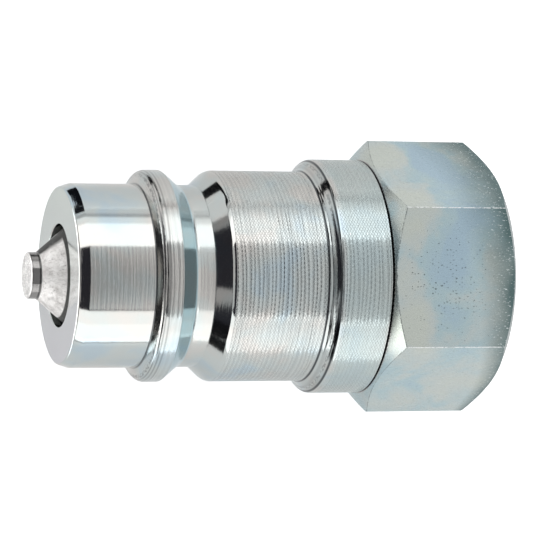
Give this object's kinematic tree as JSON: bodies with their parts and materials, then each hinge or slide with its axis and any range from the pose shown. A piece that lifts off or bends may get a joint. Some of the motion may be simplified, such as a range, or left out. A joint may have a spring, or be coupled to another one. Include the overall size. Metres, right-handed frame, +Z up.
{
  "type": "hydraulic quick coupler nipple",
  "caption": "Male half of a hydraulic quick coupler: turned steel body with collar, locking groove, wrench hexagon and threaded port, and a sprung poppet valve in its nose.",
  "frame": {"origin": "centre of the nose's front face, on the coupler's axis", "axes": "+X along the coupler's axis from the nose to the threaded port, +Z up out of the hexagon's top flat, with the opposite flat underneath"},
  "size_m": [0.0531, 0.031, 0.027],
  "materials": {
    "zinc_plate": "bright zinc plate with fine turning marks",
    "valve_steel": "plain turned steel, slightly dull",
    "seal_rubber": "matte black rubber",
    "retainer_brass": "turned brass",
    "spring_steel": "bright drawn spring wire",
    "guide_steel": "turned and milled steel, zinc plated"
  },
  "bodies": {
    "fitting": {"coupler_body": "zinc_plate", "valve_guide": "guide_steel", "snap_ring": "spring_steel", "valve_spring": "spring_steel"},
    "poppet": {"valve": "valve_steel", "valve_seal": "seal_rubber", "seal_retainer": "retainer_brass"}
  },
  "joints": [
    {"name": "valve_slide", "type": "slide", "parent": "fitting", "child": "poppet", "axis": [1, 0, 0], "range_m": [0, 0.005], "stiffness_N_per_m": 4700, "springref_m": -0.0025, "deforming": ["valve_spring"]}
  ]
}
